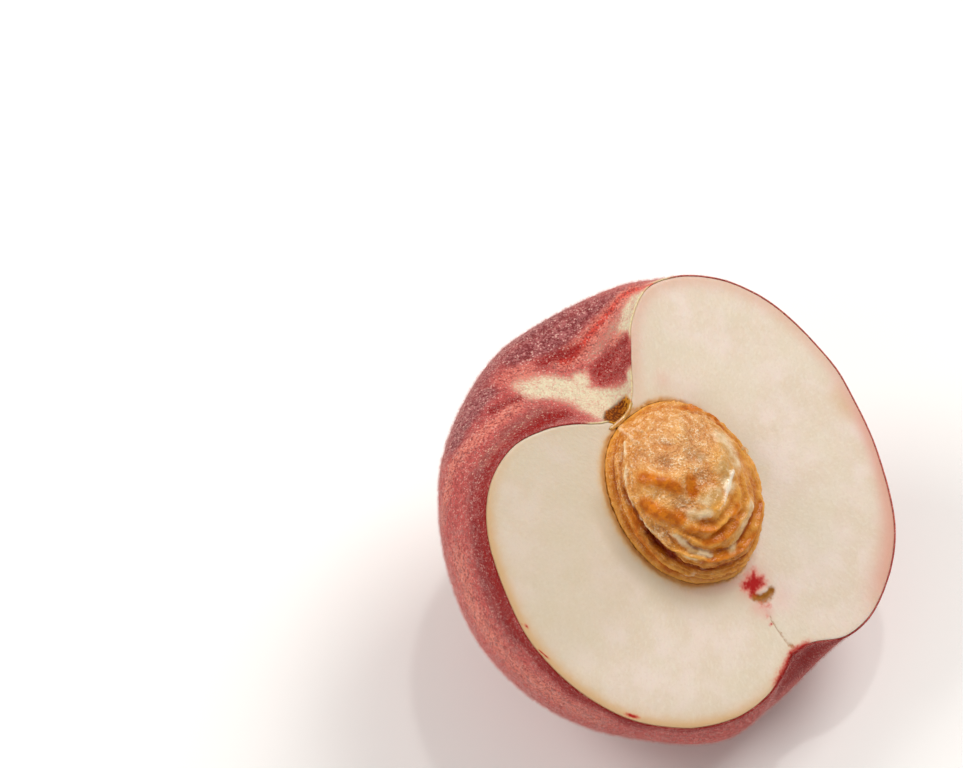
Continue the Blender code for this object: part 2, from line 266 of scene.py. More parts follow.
class Body:
    """A piece's points and faces while they are put together, in mm along the fruit's own axes."""

    def __init__(self):
        self.blocks, self.faces, self.count = [], [], 0

    def add(self, points):
        """Adds a block of points and gives back their numbers in the same layout."""
        flat = np.asarray(points, float).reshape(-1, 3)
        self.blocks.append(flat)
        self.count += len(flat)
        return np.arange(self.count - len(flat), self.count).reshape(np.shape(points)[:-1])

    def cover(self, numbers):
        """Faces between neighbouring rows and columns. A row that is all one point gives triangles."""
        corners = (numbers[:-1, :-1], numbers[1:, :-1], numbers[1:, 1:], numbers[:-1, 1:])
        for corner_numbers in np.stack(corners, axis=-1).reshape(-1, 4).tolist():
            face = list(dict.fromkeys(corner_numbers))
            if len(face) > 2:
                self.faces.append(face)

    def add_half(self, points):
        """Adds a grid from half_fruit and gives back the numbers round its edge.

        The first and last rows of the grid are drawn into points.
        """
        numbers = self.add(points)
        numbers[0], numbers[-1] = numbers[0, 0], numbers[-1, 0]
        self.cover(numbers)
        return np.concatenate((numbers[:, 0], numbers[-2:0:-1, -1]))

    def join(self, *loops):
        """Faces between closed loops of the same number of points."""
        loops = np.stack(loops)
        self.cover(np.concatenate((loops, loops[:, :1]), axis=1))

    def piece(self, name):
        """The finished object, still along the fruit's own axes, and its points in mm."""
        mesh = new_mesh(name, np.vstack(self.blocks).tolist(), self.faces)
        bm = bmesh.new()
        bm.from_mesh(mesh)
        bmesh.ops.delete(bm, geom=[vert for vert in bm.verts if not vert.link_faces], context="VERTS")
        bmesh.ops.recalc_face_normals(bm, faces=bm.faces)
        bm.to_mesh(mesh)
        bm.free()
        mesh.shade_smooth()
        obj = new_object(name, mesh)
        points = np.empty(len(mesh.vertices) * 3)
        mesh.vertices.foreach_get("co", points)
        return obj, points.reshape(-1, 3)


def new_mesh(name, points, faces):
    mesh = bpy.data.meshes.new(name)
    mesh.from_pydata(points, [], faces)
    return mesh


def new_object(name, data):
    """An object in the scene that holds the given mesh, lamp or camera."""
    obj = bpy.data.objects.new(name, data)
    bpy.context.scene.collection.objects.link(obj)
    return obj


def lay_down(points, clearance=0.0):
    """Turns points from the fruit's axes in mm to the part's frame, and lifts them clear of the floor."""
    laid = points @ np.array(LYING.to_3x3()).T + np.array(LYING.translation)
    above = laid[..., 2] - clearance
    laid[..., 2] = clearance + (above + np.hypot(above, FLOOR_BLEND)) / 2
    return laid


def settle(obj, points, node, clearance=0.0):
    """Lays a piece down where the fruit lies, hangs it under the fruit's body and hides the imported part
    that it stands for.
    """
    obj.data.vertices.foreach_set("co", (lay_down(points, clearance) * MM).ravel())
    obj.data.update()
    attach(obj, "root")
    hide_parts(node)


def paint(obj, name, *amounts):
    """Keeps up to three amounts at each point of a piece, for its finish to read."""
    colours = np.ones((len(obj.data.vertices), 4))
    for channel, amount in enumerate(amounts):
        colours[:, channel] = np.clip(amount, 0, 1)
    obj.data.attributes.new(name, "FLOAT_COLOR", "POINT").data.foreach_set("color", colours.ravel())


def near_line(points, line, width):
    """1 on a line through the given places in mm, fading out to each side of it over about width."""
    line = np.array(line, float)
    closest = np.linalg.norm(points - line[0], axis=-1)
    for start, end in zip(line, line[1:]):
        span = end - start
        share = np.clip((points - start) @ span / (span @ span), 0, 1)
        closest = np.minimum(closest, np.linalg.norm(points - start - share[..., None] * span, axis=-1))
    return bell(closest, width)


def strongest(points, marks):
    """The strongest at each point of several marks, each with a strength, a width and a line."""
    return np.maximum.reduce([strength * near_line(points, line, width)
                              for strength, width, line, *_ in marks])


skin_body = Body()
skin_outside, skin_normals = half_fruit(SKIN_TURNS)
rim = skin_body.add_half(skin_outside)
rim_points = np.vstack(skin_body.blocks)[rim]
rim_normals = unit(skin_normals.reshape(-1, 3)[rim] * (0, 1, 1))
ragged = EDGE_RAGGEDNESS * ripple(rim_points, 0.9, 3)[:, None]
edge_loops = [rim]
for out_of_cut, depth in CUT_EDGE:
    raggedness = ragged * (out_of_cut > EDGE_RAGGED_FROM)
    loop = rim_points - rim_normals * (depth + raggedness)
    loop[:, 0] = out_of_cut + raggedness[:, 0]
    edge_loops.append(skin_body.add(loop))
edge_loops.append(skin_body.add_half(half_fruit(INNER_TURNS, SKIN_THICKNESS)[0]))
skin_body.join(*edge_loops)
skin, skin_points = skin_body.piece("peach_skin")


def scar_share(points):
    from_scar = scar_distance(points) + 0.1 * ripple(points, 2.5, 3, 1.3)
    in_pit = (points[..., 2] > SCAR_HEIGHTS[0]) * (points[..., 2] < SCAR_HEIGHTS[1])
    return ease(from_scar, 1.06, 0.9) * in_pit


def skin_tints(points):
    """How red, deep, dusky, brightened, bare of bloom and greyed the skin is at each point, the brightening
    taking in a painted highlight and the depth painted shade.
    """
    moved = points + 0.7 * drift(points, 5.0, 3, (1.3, 7.7, 13.1))
    near = {name: strongest(moved, marks) for name, marks in SKIN_MARKS.items()}

    def effects(shares):
        return [share * near[name] for name, share in shares.items()]

    broad = ripple(points, 17.0, 3, 21.0)
    streaks = ripple(points * (1, 1, 0.3), 4.5, 3, 5.0)
    wall = near["pit_wall"] * (1 - ease(near["blotch"], 0.3, 0.8)) * (1 - 0.7 * near["coral"])
    cream = np.maximum.reduce((near["saddle"], wall, near["pale_patches"]))
    red = 0.86 + 0.1 * broad + 0.1 * streaks - 1.25 * cream
    deep = 0.26 + 0.16 * broad + 0.12 * streaks - 0.9 * cream + sum(effects(DEEPENING))
    dusk = 0.14 * broad + 0.25 * ease(-points[..., 0], 9, 17) - cream + sum(effects(DULLING))
    bright_and_highlight, bare = (np.maximum.reduce(effects(shares)) for shares in (BRIGHTENING_AND_HIGHLIGHT, BARING))
    return red, deep, dusk, bright_and_highlight, bare, near["grey_stripe"]


red, deep, dusk, bright_and_highlight, bare, greyed = skin_tints(skin_points)
paint(skin, "skin_tints", red, deep, dusk)
paint(skin, "skin_marks", scar_share(skin_points), ease(skin_points[:, 0], 0.26, 0.38), bright_and_highlight)
paint(skin, "skin_bloom", bare, greyed, ease(-across_scar(skin_points), -0.4, 1.5))
paint(skin, "skin_edge", ease(skin_points[:, 1], 4, 16) * ease(skin_points[:, 2], -28, -21))


class Value:
    """The value of a socket, so that shader maths reads as plain arithmetic."""

    def __init__(self, tree, socket):
        self.tree, self.socket = tree, socket

    def maths(self, operation, *inputs):
        node = self.tree.nodes.new("ShaderNodeMath")
        node.operation = operation
        for socket, given in zip(node.inputs, inputs):
            plug(self.tree, socket, given)
        return Value(self.tree, node.outputs[0])

    def __add__(self, other):
        return self.maths("ADD", self, other)

    def __sub__(self, other):
        return self.maths("SUBTRACT", self, other)

    def __rsub__(self, other):
        return self.maths("SUBTRACT", other, self)

    def __mul__(self, other):
        return self.maths("MULTIPLY", self, other)

    __radd__, __rmul__ = __add__, __mul__


def plug(tree, socket, given):
    if isinstance(given, Value):
        tree.links.new(given.socket, socket)
    else:
        socket.default_value = given


def tone(red, green, blue):
    """A colour as seen on a screen, 0 to 255, turned into linear light."""
    linear = [c / 255 / 12.92 if c <= 10 else ((c / 255 + 0.055) / 1.055) ** 2.4 for c in (red, green, blue)]
    return (*linear, 1.0)


class Finish:
    """A material and the nodes that it is made of."""

    def __init__(self, name, **uniform):
        self.material = bpy.data.materials.new(name)
        self.material.use_nodes = True
        self.tree = self.material.node_tree
        self.shader = self.tree.nodes["Principled BSDF"]
        self.set(**uniform)
        self.place = self.node("ShaderNodeTexCoord", output="Object")

    def set(self, **given):
        """Sets or links the shader's sockets. An underscore stands for a space in a socket's name."""
        for name, value in given.items():
            plug(self.tree, self.shader.inputs[name.replace("_", " ")], value)

    def node(self, kind, settings=(), sockets=(), output=0):
        node = self.tree.nodes.new(kind)
        for name, value in dict(settings).items():
            setattr(node, name, value)
        for name, given in dict(sockets).items():
            plug(self.tree, node.inputs[name], given)
        return Value(self.tree, node.outputs[output])

    def painted(self, name):
        colour = self.node("ShaderNodeAttribute", {"attribute_name": name}, output="Color")
        return [self.node("ShaderNodeSeparateColor", sockets={0: colour}, output=channel)
                for channel in range(3)]

    def grain(self, size, detail=2.0):
        """Noise of about 0 to 1 with lumps of about the given size in mm."""
        return self.node("ShaderNodeTexNoise", sockets={
            "Vector": self.place, "Scale": 1 / (size * MM), "Detail": detail})

    def cells(self, size):
        """Distance from the middle of the nearest of many scattered cells of about the given size in mm."""
        return self.node("ShaderNodeTexVoronoi", sockets={"Vector": self.place, "Scale": 1 / (size * MM)})

    def step(self, value, low, high):
        """A smooth step from 0 at low to 1 at high."""
        return self.node("ShaderNodeMapRange", {"interpolation_type": "SMOOTHSTEP"},
                         {"Value": value, "From Min": low, "From Max": high})

    def blend(self, amount, first, second):
        """The first colour where amount is 0 and the second where it is 1. Plain ones are 0 to 255."""
        first, second = (given if isinstance(given, Value) else tone(*given) for given in (first, second))
        return self.node("ShaderNodeMix", {"data_type": "RGBA"}, {0: amount, 6: first, 7: second}, 2)

    def over(self, colour, *layers):
        """A colour with layers laid over it in turn, each given as its amount and its shade."""
        for amount, shade in layers:
            colour = self.blend(amount, colour, shade)
        return colour

    def relief(self, height, depth):
        """A surface normal from a height, where a height of 1 stands for depth in mm."""
        return self.node("ShaderNodeBump", output="Normal", sockets={
            "Strength": 1.0, "Distance": depth * MM, "Height": height})

    def wear(self, obj):
        obj.data.materials.append(self.material)


downy = Finish("downy_skin", Roughness=0.68, Specular_IOR_Level=0.11, Sheen_Weight=0.06, Sheen_Roughness=0.5,
               Sheen_Tint=tone(255, 214, 206))
redness, depth, duskiness = downy.painted("skin_tints")
scarred, cut_edge, brightness_and_highlight = downy.painted("skin_marks")
bareness, grey, wall_side = downy.painted("skin_bloom")
far_edge = downy.painted("skin_edge")[0]
speck, fleck, cloud = downy.grain(0.34, 1.0), downy.grain(0.8), downy.grain(3.5)
mottle = (speck - 0.5) * 3.2 + (fleck - 0.5) * 0.6
clouding = (cloud - 0.5) * 0.3
blushed = downy.step(redness + mottle * 0.3 + clouding, -0.3, 0.78)
redder = downy.step(redness + mottle * 0.5, 0.55, 1.15)
on_red = downy.step(redness, 0.2, 0.8)
dark_specks = downy.step(speck, 0.5, 0.32) * on_red
clots = downy.step(fleck + (speck - 0.5) * 0.9, 0.58, 0.34) * on_red
pale_specks = downy.step(downy.cells(0.42), 0.42, 0.12) * downy.step(fleck, 0.38, 0.58)
on_edge = cut_edge * (1 - scarred)
pink = downy.blend(cloud, (212, 118, 108), (190, 90, 84))
# Paler pink for the pale belt and the painted highlight on the groove's lip, coral red for the coral streak.
coral_and_highlight_pink = downy.blend(downy.step(brightness_and_highlight, 0.6, 0.9), (228, 140, 120), (226, 78, 60))
deep_red = downy.blend(bareness, (126, 18, 24), (144, 8, 2))
dusky = downy.blend(downy.step(fleck + speck - 1.0, -0.25, 0.25), (92, 40, 48), (168, 102, 102))
scar_rim = downy.blend(wall_side, (204, 140, 36), (166, 90, 10))
scar_speck = downy.step(speck + (fleck - 0.5) * 0.5 - 0.2 * wall_side, 0.26, 0.5)
skin_colour = downy.over(
    (222, 220, 186),
    (blushed, pink),
    (redder, (192, 78, 76)),
    (grey * 0.5, (150, 98, 82)),
    # Coral and pale bands, and the painted highlight along the lip of the seam groove.
    (downy.step(brightness_and_highlight + mottle * 0.35, 0.0, 0.95) * 0.85, coral_and_highlight_pink),
    # Deeper red, with painted shade in the groove band and, in part, in the notch.
    (downy.step(depth + mottle * 0.5 + clouding, 0.36, 1.0), deep_red),
    (downy.step(duskiness + mottle * 0.3, 0.1, 1.0) * 0.85, dusky),
    (dark_specks * (0.5 + 0.15 * brightness_and_highlight), (96, 16, 24)),
    (clots * (0.38 + 0.15 * brightness_and_highlight), (124, 30, 34)),
    (pale_specks * (0.72 - 0.4 * bareness + 0.26 * grey + 0.2 * duskiness),
     downy.blend(grey, (238, 192, 178), (206, 172, 144))),
    (scarred, downy.blend(scar_speck, (102, 46, 0), scar_rim)),
    (on_edge * (1 - blushed) * 0.85, (226, 206, 150)),
    (on_edge * redder * 0.8, downy.blend(far_edge, (132, 24, 18), (214, 126, 108))),
)
downy.set(Base_Color=skin_colour, Normal=downy.relief(speck * 0.6 + fleck * 0.5 + cloud, 0.12))
downy.wear(skin)
settle(skin, skin_points, "skin")

# The down
# Short pale hairs stand all over the skin, a few tenths of a millimetre long. They grow
# out of it, lean towards the tip and dull its red, most where it is seen from the side.
DOWN_PIECES = 3
HAIRS_EACH = 125_000
HAIR_LENGTHS = (0.22, 0.62)
HAIR_HALF_WIDTH = 0.007
HAIR_LEAN = 0.75
HAIR_CLUMPING = 3.5
HAIR_THINNING = 0.8
HAIR_CLEARANCE = 0.4
HAIR_SEED = 41

down_finish = Finish("pale_down", Base_Color=tone(226, 178, 172), Roughness=0.7, Specular_IOR_Level=0.2)
chance = np.random.default_rng(HAIR_SEED)


def between_corners(grid, row, column, u, v):
    """A grid's values part of the way across its cells, down by u and along by v."""
    upper = (1 - v) * grid[row, column] + v * grid[row, column + 1]
    lower = (1 - v) * grid[row + 1, column] + v * grid[row + 1, column + 1]
    return (1 - u) * upper + u * lower


across = np.linalg.norm(np.diff(skin_outside, axis=1), axis=-1)
down_rows = np.linalg.norm(np.diff(skin_outside, axis=0), axis=-1)
areas = (across[1:] + across[:-1]) * (down_rows[:, 1:] + down_rows[:, :-1])
worn = np.clip(skin_tints(skin_outside)[4][:-1, :-1], 0, 1)
areas *= (1 - HAIR_THINNING * worn) * chance.uniform(0.05, 1, areas.shape) ** HAIR_CLUMPING
for number in range(1, DOWN_PIECES + 1):
    cells = chance.choice(areas.size, HAIRS_EACH, p=(areas / areas.sum()).ravel())
    corners = (*np.divmod(cells, areas.shape[1]), *chance.random((2, HAIRS_EACH, 1)))
    root, outward = (between_corners(grid, *corners) for grid in (skin_outside, skin_normals))
    lean = chance.normal(0, HAIR_LEAN / 2, (HAIRS_EACH, 3)) + HAIR_LEAN * 0.4 * np.array((0, 0, -1))
    growing = unit(outward + lean - (lean * outward).sum(axis=1, keepdims=True) * outward)
    length = chance.uniform(*HAIR_LENGTHS, (HAIRS_EACH, 1))
    sideways = np.cross(growing, chance.normal(0, 1, (HAIRS_EACH, 3)))
    sideways *= HAIR_HALF_WIDTH / np.linalg.norm(sideways, axis=1, keepdims=True)
    hairs = np.stack((root - sideways, root + sideways, root + growing * length), axis=1)
    clear = (lay_down(hairs)[..., 2].min(axis=1) > HAIR_CLEARANCE) & (scar_share(root) < 0.2)
    hair_points = hairs[clear].reshape(-1, 3)
    triangles = np.arange(len(hair_points)).reshape(-1, 3).tolist()
    down = new_object(f"down_{number}", new_mesh(f"down_{number}", hair_points.tolist(), triangles))
    down_finish.wear(down)
    settle(down, hair_points, "skin")

# The stone
# It is woody and as hard as a nut, tan and orange, with a double keel round its edge,
# ridges and pits on its faces, and a wet film of flesh that was torn off with the cut.
STONE_MIDDLE = np.array((0.0, 0.1, 4.2))
STONE_HALF_SIZES = np.array((9.0, 12.5, 14.5))
STEM_END_BLUNTNESS = 0.35
TIP_LENGTH = 0.5
TIP_ANGLE = math.radians(14)
# Each band of relief: its angle in degrees from the middle of the face and its height in mm, both at
# eight turns, and its half width in degrees.
STONE_BANDS = (
    ((88, 88, 89, 88, 88, 89, 90, 90), (0.3, 0.3, 0.2, 0.3, 0.35, 0.4, 0.5, 0.45), 2.2),
    ((78, 79, 80, 79, 82, 83, 82, 80), (-0.3, -0.3, -0.1, -0.4, -0.35, -0.35, -0.45, -0.35), 3.0),
    ((67, 70, 78, 72, 75, 77, 74, 70), (0.4, 0.4, 0.1, 0.15, 0.35, 0.35, 0.25, 0.3), 2.0),
    ((60, 60, 76, 70, 67, 68, 63, 61), (-0.35, -0.35, -0.1, -0.35, -0.8, -0.65, -0.5, -0.45), 3.0),
    ((50, 46, 72, 65, 61, 57, 51, 53), (0.35, 0.35, 0.0, 0.25, 0.4, 0.5, 0.6, 0.45), 1.8),
    ((43, 40, 50, 58, 54, 49, 44, 45), (-0.2, -0.1, 0.0, -0.1, -0.25, -0.45, -0.6, -0.4), 3.4),
    ((34, 34, 42, 50, 50, 42, 34, 31), (0.0, 0.0, 0.0, 0.0, 0.1, 0.4, 0.55, 0.35), 2.2),
    ((30, 30, 36, 44, 45, 37, 30, 27), (0.0, 0.0, 0.0, 0.0, -0.1, -0.35, -0.45, -0.2), 2.6),
    ((20, 22, 30, 36, 41, 32, 26, 23), (0.0, 0.0, 0.0, 0.0, 0.15, 0.45, 0.55, 0.3), 2.6),
    ((14, 16, 24, 28, 36, 26, 19, 16), (0.0, 0.0, 0.0, 0.0, -0.1, -0.25, -0.3, -0.1), 3.0),
)
INNER_KEEL_BAND = 4
# How strongly the keel's furrow takes its painted shade and its pale stripes, at each eighth of a turn.
KEEL_SHADE = (0.3, 0.15, 0.0, 0.6, 1.0, 1.0, 0.8, 0.6)
# Each dent: how far it is sideways and up, its radius and its depth, in mm.
STONE_DENTS = (
    (0.4, 4.8, 1.4, 0.9), (-4.4, 7.0, 1.3, 0.7), (-2.4, 9.7, 1.1, 0.6), (-6.5, -0.9, 1.7, 0.8),
    (-1.2, 1.2, 1.3, 0.7), (3.4, 7.6, 1.2, 0.4), (-7.4, 5.4, 2.0, -0.8), (-9.0, 1.0, 1.8, -0.7),
    (-3.3, 3.3, 1.7, -0.7), (1.0, 9.0, 1.5, -0.5), (4.0, 3.0, 2.2, -0.5), (-2.2, -3.4, 1.8, -0.6),
    (-4.4, -4.4, 1.1, 0.5), (5.6, 5.2, 1.1, 0.4), (-5.9, 9.6, 1.1, 0.5), (2.4, -1.4, 1.2, 0.4),
)
INNER_KEEL = ((3.4, -5.6, 16.6), (4.2, -7.4, 14.5), (3.8, -9.3, 12.4), (3.9, -10.1, 10.7), (3.7, -10.9, 8.6),
              (3.9, -11.3, 5.8), (4.5, -10.9, 3.2), (5.1, -9.9, 0.4), (5.0, -8.8, -2.6), (4.9, -7.2, -5.0))
SECOND_KEEL = ((3.0, -11.5, 7.8), (2.9, -11.9, 5.5), (2.2, -12.2, 3.7), (2.4, -12.0, 2.0), (1.8, -11.7, -0.6),
               (0.8, -10.3, -4.1))
# Each mark: its strength, its width and its line in mm. What is raised has its height in mm too.
ORANGE_PLACES = (
    (1, 1.35, ((6.0, -7.8, 10.8), (7.3, -6.5, 8.9), (8.2, -5.3, 7.0)), 0.6),
    (1, 1.45, ((5.4, -9.8, 7.5), (6.5, -8.9, 4.5), (7.3, -7.5, 2.8)), 0.8),
    (1, 1.2, ((8.9, -2.8, 6.5), (8.8, -3.4, 5.2)), -0.35),
    (0.78, 0.8, ((7.0, -7.6, 0.7), (7.8, -5.1, -0.9), (7.8, -2.7, -2.7), (8.3, 0.1, -2.2),
                 (8.4, 1.9, -1.4)), 0.1),
    (0.78, 0.7, ((6.9, -5.7, -2.9), (7.3, -3.3, -3.9), (7.7, -0.7, -3.8), (8.1, 1.8, -2.3)), 0.05),
    (0.78, 0.7, ((4.9, -7.2, -5.0), (5.5, -4.9, -6.1), (5.7, -1.9, -7.1), (5.7, 1.3, -7.2),
                 (5.8, 3.8, -6.4), (5.6, 7.4, -3.9)), 0.05),
    (0.78, 0.7, SECOND_KEEL, 0.1),
    (0.78, 0.9, ((4.5, 5.9, 15.6), (2.6, 9.9, 13.2), (3.6, 10.5, 10.6), (5.5, 9.8, 7.8)), 0.05),
    (0.78, 0.9, ((2.4, 12.4, -3.0), (2.0, 12.6, 0.5), (2.0, 12.6, 3.0)), 0.05),
)
FILM_FOLDS = (
    (0.3, 0.34, ((5.9, 7.4, 12.0), (7.0, 7.2, 9.4), (6.7, 8.6, 6.9), (5.4, 10.3, 4.9)), 0.12),
    (1, 0.44, ((8.6, 4.6, 3.6), (8.9, 2.8, 2.5), (9.2, 0.6, 1.1), (9.2, -0.3, 0.6)), 0.32),
    (0.5, 0.3, ((9.0, 0.9, 1.3), (8.9, -0.9, 0.5), (8.4, -3.3, 0.2)), 0.12),
    (0.55, 0.42, ((0.6, -2.5, 18.7), (3.2, -2.9, 17.7), (4.7, -2.6, 16.6)), 0.28),
    (0.55, 0.42, ((0.8, -3.2, 18.6), (3.2, -4.1, 17.4), (4.7, -4.5, 16.0)), 0.28),
    (0.6, 0.6, ((1.7, -8.8, -5.9), (2.7, -8.0, -6.2)), 0.2),
)
MILKY_PLACES = (
    (1, 2.0, ((7.2, 7.3, 8.4), (7.9, 6.5, 4.5))),
    (1, 1.8, ((8.6, 3.8, 5.0), (8.9, 2.6, 2.6))),
    (1, 1.5, ((9.1, -0.2, 2.3), (9.0, -2.5, 2.7))),
    (1, 1.2, ((8.8, 1.4, 8.2),)),
    (1, 1.0, ((8.1, -5.7, 2.3), (8.6, -3.3, 1.0))),
    (1, 0.9, ((7.3, 4.9, -2.8), (7.3, 1.3, -4.5), (6.2, -2.0, -6.5))),
    (1, 0.6, ((5.8, -5.4, -5.3), (5.9, -8.0, -2.2), (6.1, -8.9, 0.8))),
)
RED_GAPS = (
    (1, 0.85, ((3.7, -11.2, 1.4), (3.8, -10.8, -0.3), (3.6, -10.0, -2.0))),
    (1, 0.5, ((3.6, -11.7, 3.4), (3.7, -11.2, 1.4))),
)
STONE_PITS = [(1, 0.9, (place,)) for place in ((7.3, -1.5, 13.0), (7.9, -3.8, 10.7), (8.8, 1.4, 8.2))]
STONE_TURNS = 400
STONE_ANGLES = np.radians(np.concatenate((np.linspace(0, 94, 176), np.linspace(94, 180, 22)[1:])))


def round_the_face(turn, values):
    """A smooth blend of eight values, one at each eighth of a turn from the far side, by the stem end."""
    values = np.array(values, float)
    place = turn % (2 * math.pi) * 4 / math.pi
    before = np.floor(place).astype(int) % 8
    share = (1 - np.cos(math.pi * (place - np.floor(place)))) / 2
    return values[before] * (1 - share) + values[(before + 1) % 8] * share


def stone_surface(angles, turns):
    """The stone in mm, by angle from the middle of its face and by turn, and what to paint on it."""
    angle, turn = np.meshgrid(angles, turns, indexing="ij")
    direction = np.stack((np.cos(angle), np.sin(angle) * np.cos(turn), np.sin(angle) * np.sin(turn)), axis=-1)
    power = 2 + STEM_END_BLUNTNESS * np.maximum(0, np.sin(turn)) ** 2
    bulge = (np.abs(np.cos(turn)) ** power + np.abs(np.sin(turn)) ** power) ** (-1 / power)
    place = direction * STONE_HALF_SIZES
    place[..., 1:] *= bulge[..., None]
    off_the_tip = (turn + math.pi / 2 + math.pi) % (2 * math.pi) - math.pi
    place[..., 2] -= TIP_LENGTH * bell(off_the_tip, TIP_ANGLE) * np.sin(angle) ** 4
    outward = unit(place / STONE_HALF_SIZES ** 2)
    face_angle = np.arccos(np.minimum(1, np.abs(direction[..., 0])))
    off_keel = 1 - np.sin(face_angle) ** 8
    warp = ripple(place, 4.0, 3, 2.0)
    degrees = np.degrees(face_angle) + 3.1 * warp * (0.35 + 0.65 * off_keel)
    bands = np.zeros_like(angle)
    for count, (middles, heights, half_width) in enumerate(STONE_BANDS):
        wave = 1.4 * np.sin(5 * turn + count) * off_keel
        fullness = 0.9 + 0.55 * ripple(place, 3.2, 2, 40.0 + count) * (0.4 + 0.6 * off_keel)
        offset = degrees - round_the_face(turn, middles) - wave
        bands += np.clip(fullness, 0.3, 1.3) * round_the_face(turn, heights) * bell(offset, half_width)
    dents = np.zeros_like(angle)
    mirrored = place[..., 1] * np.sign(direction[..., 0] + 1e-9)
    for sideways, up, radius, depth in STONE_DENTS:
        away = np.hypot(mirrored - sideways, place[..., 2] - up)
        dents -= depth * bell(away, radius) * np.sqrt(np.cos(face_angle))
    on_face = np.cos(face_angle) ** 0.7
    spots = place + 0.2 * outward + STONE_MIDDLE
    spots += 0.3 * drift(spots, 1.8, 3, (1.0, 6.0, 11.0))
    broken = np.clip(0.65 + 0.8 * ripple(spots, 2.2, 2, 24.0), 0, 1)
    pale_line = broken * near_line(spots, INNER_KEEL, 0.38)
    orange, folds = strongest(spots, ORANGE_PLACES), strongest(spots, FILM_FOLDS)
    milky = strongest(spots, MILKY_PLACES) * (1 - 0.6 * orange)
    gap, pits = strongest(spots, RED_GAPS), strongest(spots, STONE_PITS)
    raised = 0.35 * pale_line - 0.42 * gap - 0.45 * pits
    for _, width, line, height in ORANGE_PLACES + FILM_FOLDS:
        raised += height * near_line(spots, line, width)
    lumps = 0.3 * ripple(place, 2.6, 2, 9.0) * on_face
    grains = np.abs(ripple(place, 0.6, 2, 4.0)) - 0.3
    grainy = ease(place[..., 2] - 0.5 * place[..., 1], -5, 5) * on_face
    grainy *= (1 - 0.75 * milky) * (1 - 0.85 * orange)
    relief = bands + dents + lumps + grains * (0.14 + 0.14 * grainy) * (1 - 0.8 * orange)
    veined = ripple(place + outward * 2, 1.3, 2, 30.0)
    fine_lines = np.sin(degrees * 1.5 + 3 * veined)
    fine_lines *= ease(face_angle, 0.75, 1.15) * ease(face_angle, 1.57, 1.4)
    relief = (relief + 0.11 * fine_lines) * (1 - 0.45 * milky) + 0.25 * milky + raised
    points = place + outward * relief[..., None] + STONE_MIDDLE
    keel_zone = ease(degrees - round_the_face(turn, STONE_BANDS[INNER_KEEL_BAND][0]), 1.0, 5.0)
    keel_zone *= round_the_face(turn, KEEL_SHADE)
    pale_line = np.maximum(pale_line, 0.35 * keel_zone * ease(np.sin(degrees * 1.7 + 4 * veined), 0.55, 1.0))
    angle = np.degrees(angle)
    # Darker paint in the low bands and in the keel's furrow: painted shade.
    crevice_shading = np.maximum(ease(bands, -0.1, -0.6), 0.22 * keel_zone * (1 - ease(angle, 84, 89)))
    # The first tint follows the relief: painted shade in the low parts and lighter paint on the raised ones.
    return points, {"stone_tints": (0.5 + 0.4 * relief, milky, grainy),
                    # The pits are painted darker as well as sunk: painted shade.
                    "stone_marks": (crevice_shading, ease(angle, 83, 89), np.maximum(gap, 0.3 * pits)),
                    "stone_spots": (orange, folds, pale_line)}


turns = np.arange(STONE_TURNS) * 2 * math.pi / STONE_TURNS
stone_points, stone_paints = stone_surface(STONE_ANGLES, turns)
stone_points[0], stone_points[-1] = stone_points[0].mean(axis=0), stone_points[-1].mean(axis=0)
stone_body = Body()
stone_numbers = stone_body.add(stone_points)
stone_numbers[0], stone_numbers[-1] = stone_numbers[0, 0], stone_numbers[-1, 0]
stone_body.join(*stone_numbers)
stone, stone_places = stone_body.piece("peach_stone")
used = np.unique(stone_numbers)
for name, amounts in stone_paints.items():
    paint(stone, name, *(amount.ravel()[used] for amount in amounts))

woody = Finish("wet_stone", Specular_IOR_Level=0.2, Coat_Roughness=0.06, Subsurface_Weight=0.1,
               Subsurface_Scale=MM, Subsurface_Radius=(1.0, 0.5, 0.2))
height, milk, sandy = woody.painted("stone_tints")
crevice_shade, rim_line, gap_red_and_pit_shade = woody.painted("stone_marks")
oranged, folded, crest = woody.painted("stone_spots")
grit, blot, vein = woody.grain(0.3, 1.0), woody.grain(1.3, 3.0), woody.grain(3.4)
blots = blot - 0.5
lump_shade = woody.blend(woody.step(blot, 0.4, 0.62), (180, 84, 0), (212, 116, 6))
milkiness = woody.step(blot * 0.4 + vein * 0.6, 0.4, 0.6)
milk_shade = woody.blend(milkiness, (200, 154, 92), (238, 212, 172))
stone_colour = woody.over(
    (184, 96, 4),
    # Lighter where the relief is raised and darker where it is low: painted light and shade.
    (woody.step(height + blots * 0.5, 0.24, 0.76), (234, 168, 78)),
    (woody.step(sandy + blots * 0.7, 0.2, 0.9) * 0.65, (232, 178, 120)),
    (woody.step(vein, 0.5, 0.7) * 0.35, (208, 126, 34)),
    # Near-white flecks on the grainy face: pale grains, partly painted glints of the wet surface.
    (woody.step(grit + blots * 0.7, 0.54, 0.74) * sandy * 0.85, (255, 232, 198)),
    (woody.step(grit + blots * 0.6, 0.46, 0.28) * sandy * 0.55, (186, 100, 30)),
    # Painted shade in the furrows.
    (woody.step(crevice_shade + blots * 0.6, 0.2, 0.9) * 0.9, (152, 66, 0)),
    (woody.step(oranged + blots * 0.3, 0.1, 0.9) * 0.9, lump_shade),
    (woody.step(milk + blots * 0.4, 0.1, 1.0) * 0.85, milk_shade),
    (woody.step(rim_line + blots * 1.2, 0.4, 1.0) * 0.6, (228, 158, 64)),
    (woody.step(crest + blots * 0.4, 0.2, 0.85) * 0.8, (240, 216, 176)),
    (woody.step(folded + blots * 0.3, 0.2, 1.0) * 0.8, (248, 236, 216)),
    # Deep red-brown in the gap, and painted shade in the pits.
    (woody.step(gap_red_and_pit_shade + blots * 0.4, 0.08, 0.75) * 0.95, (116, 28, 0)),
)
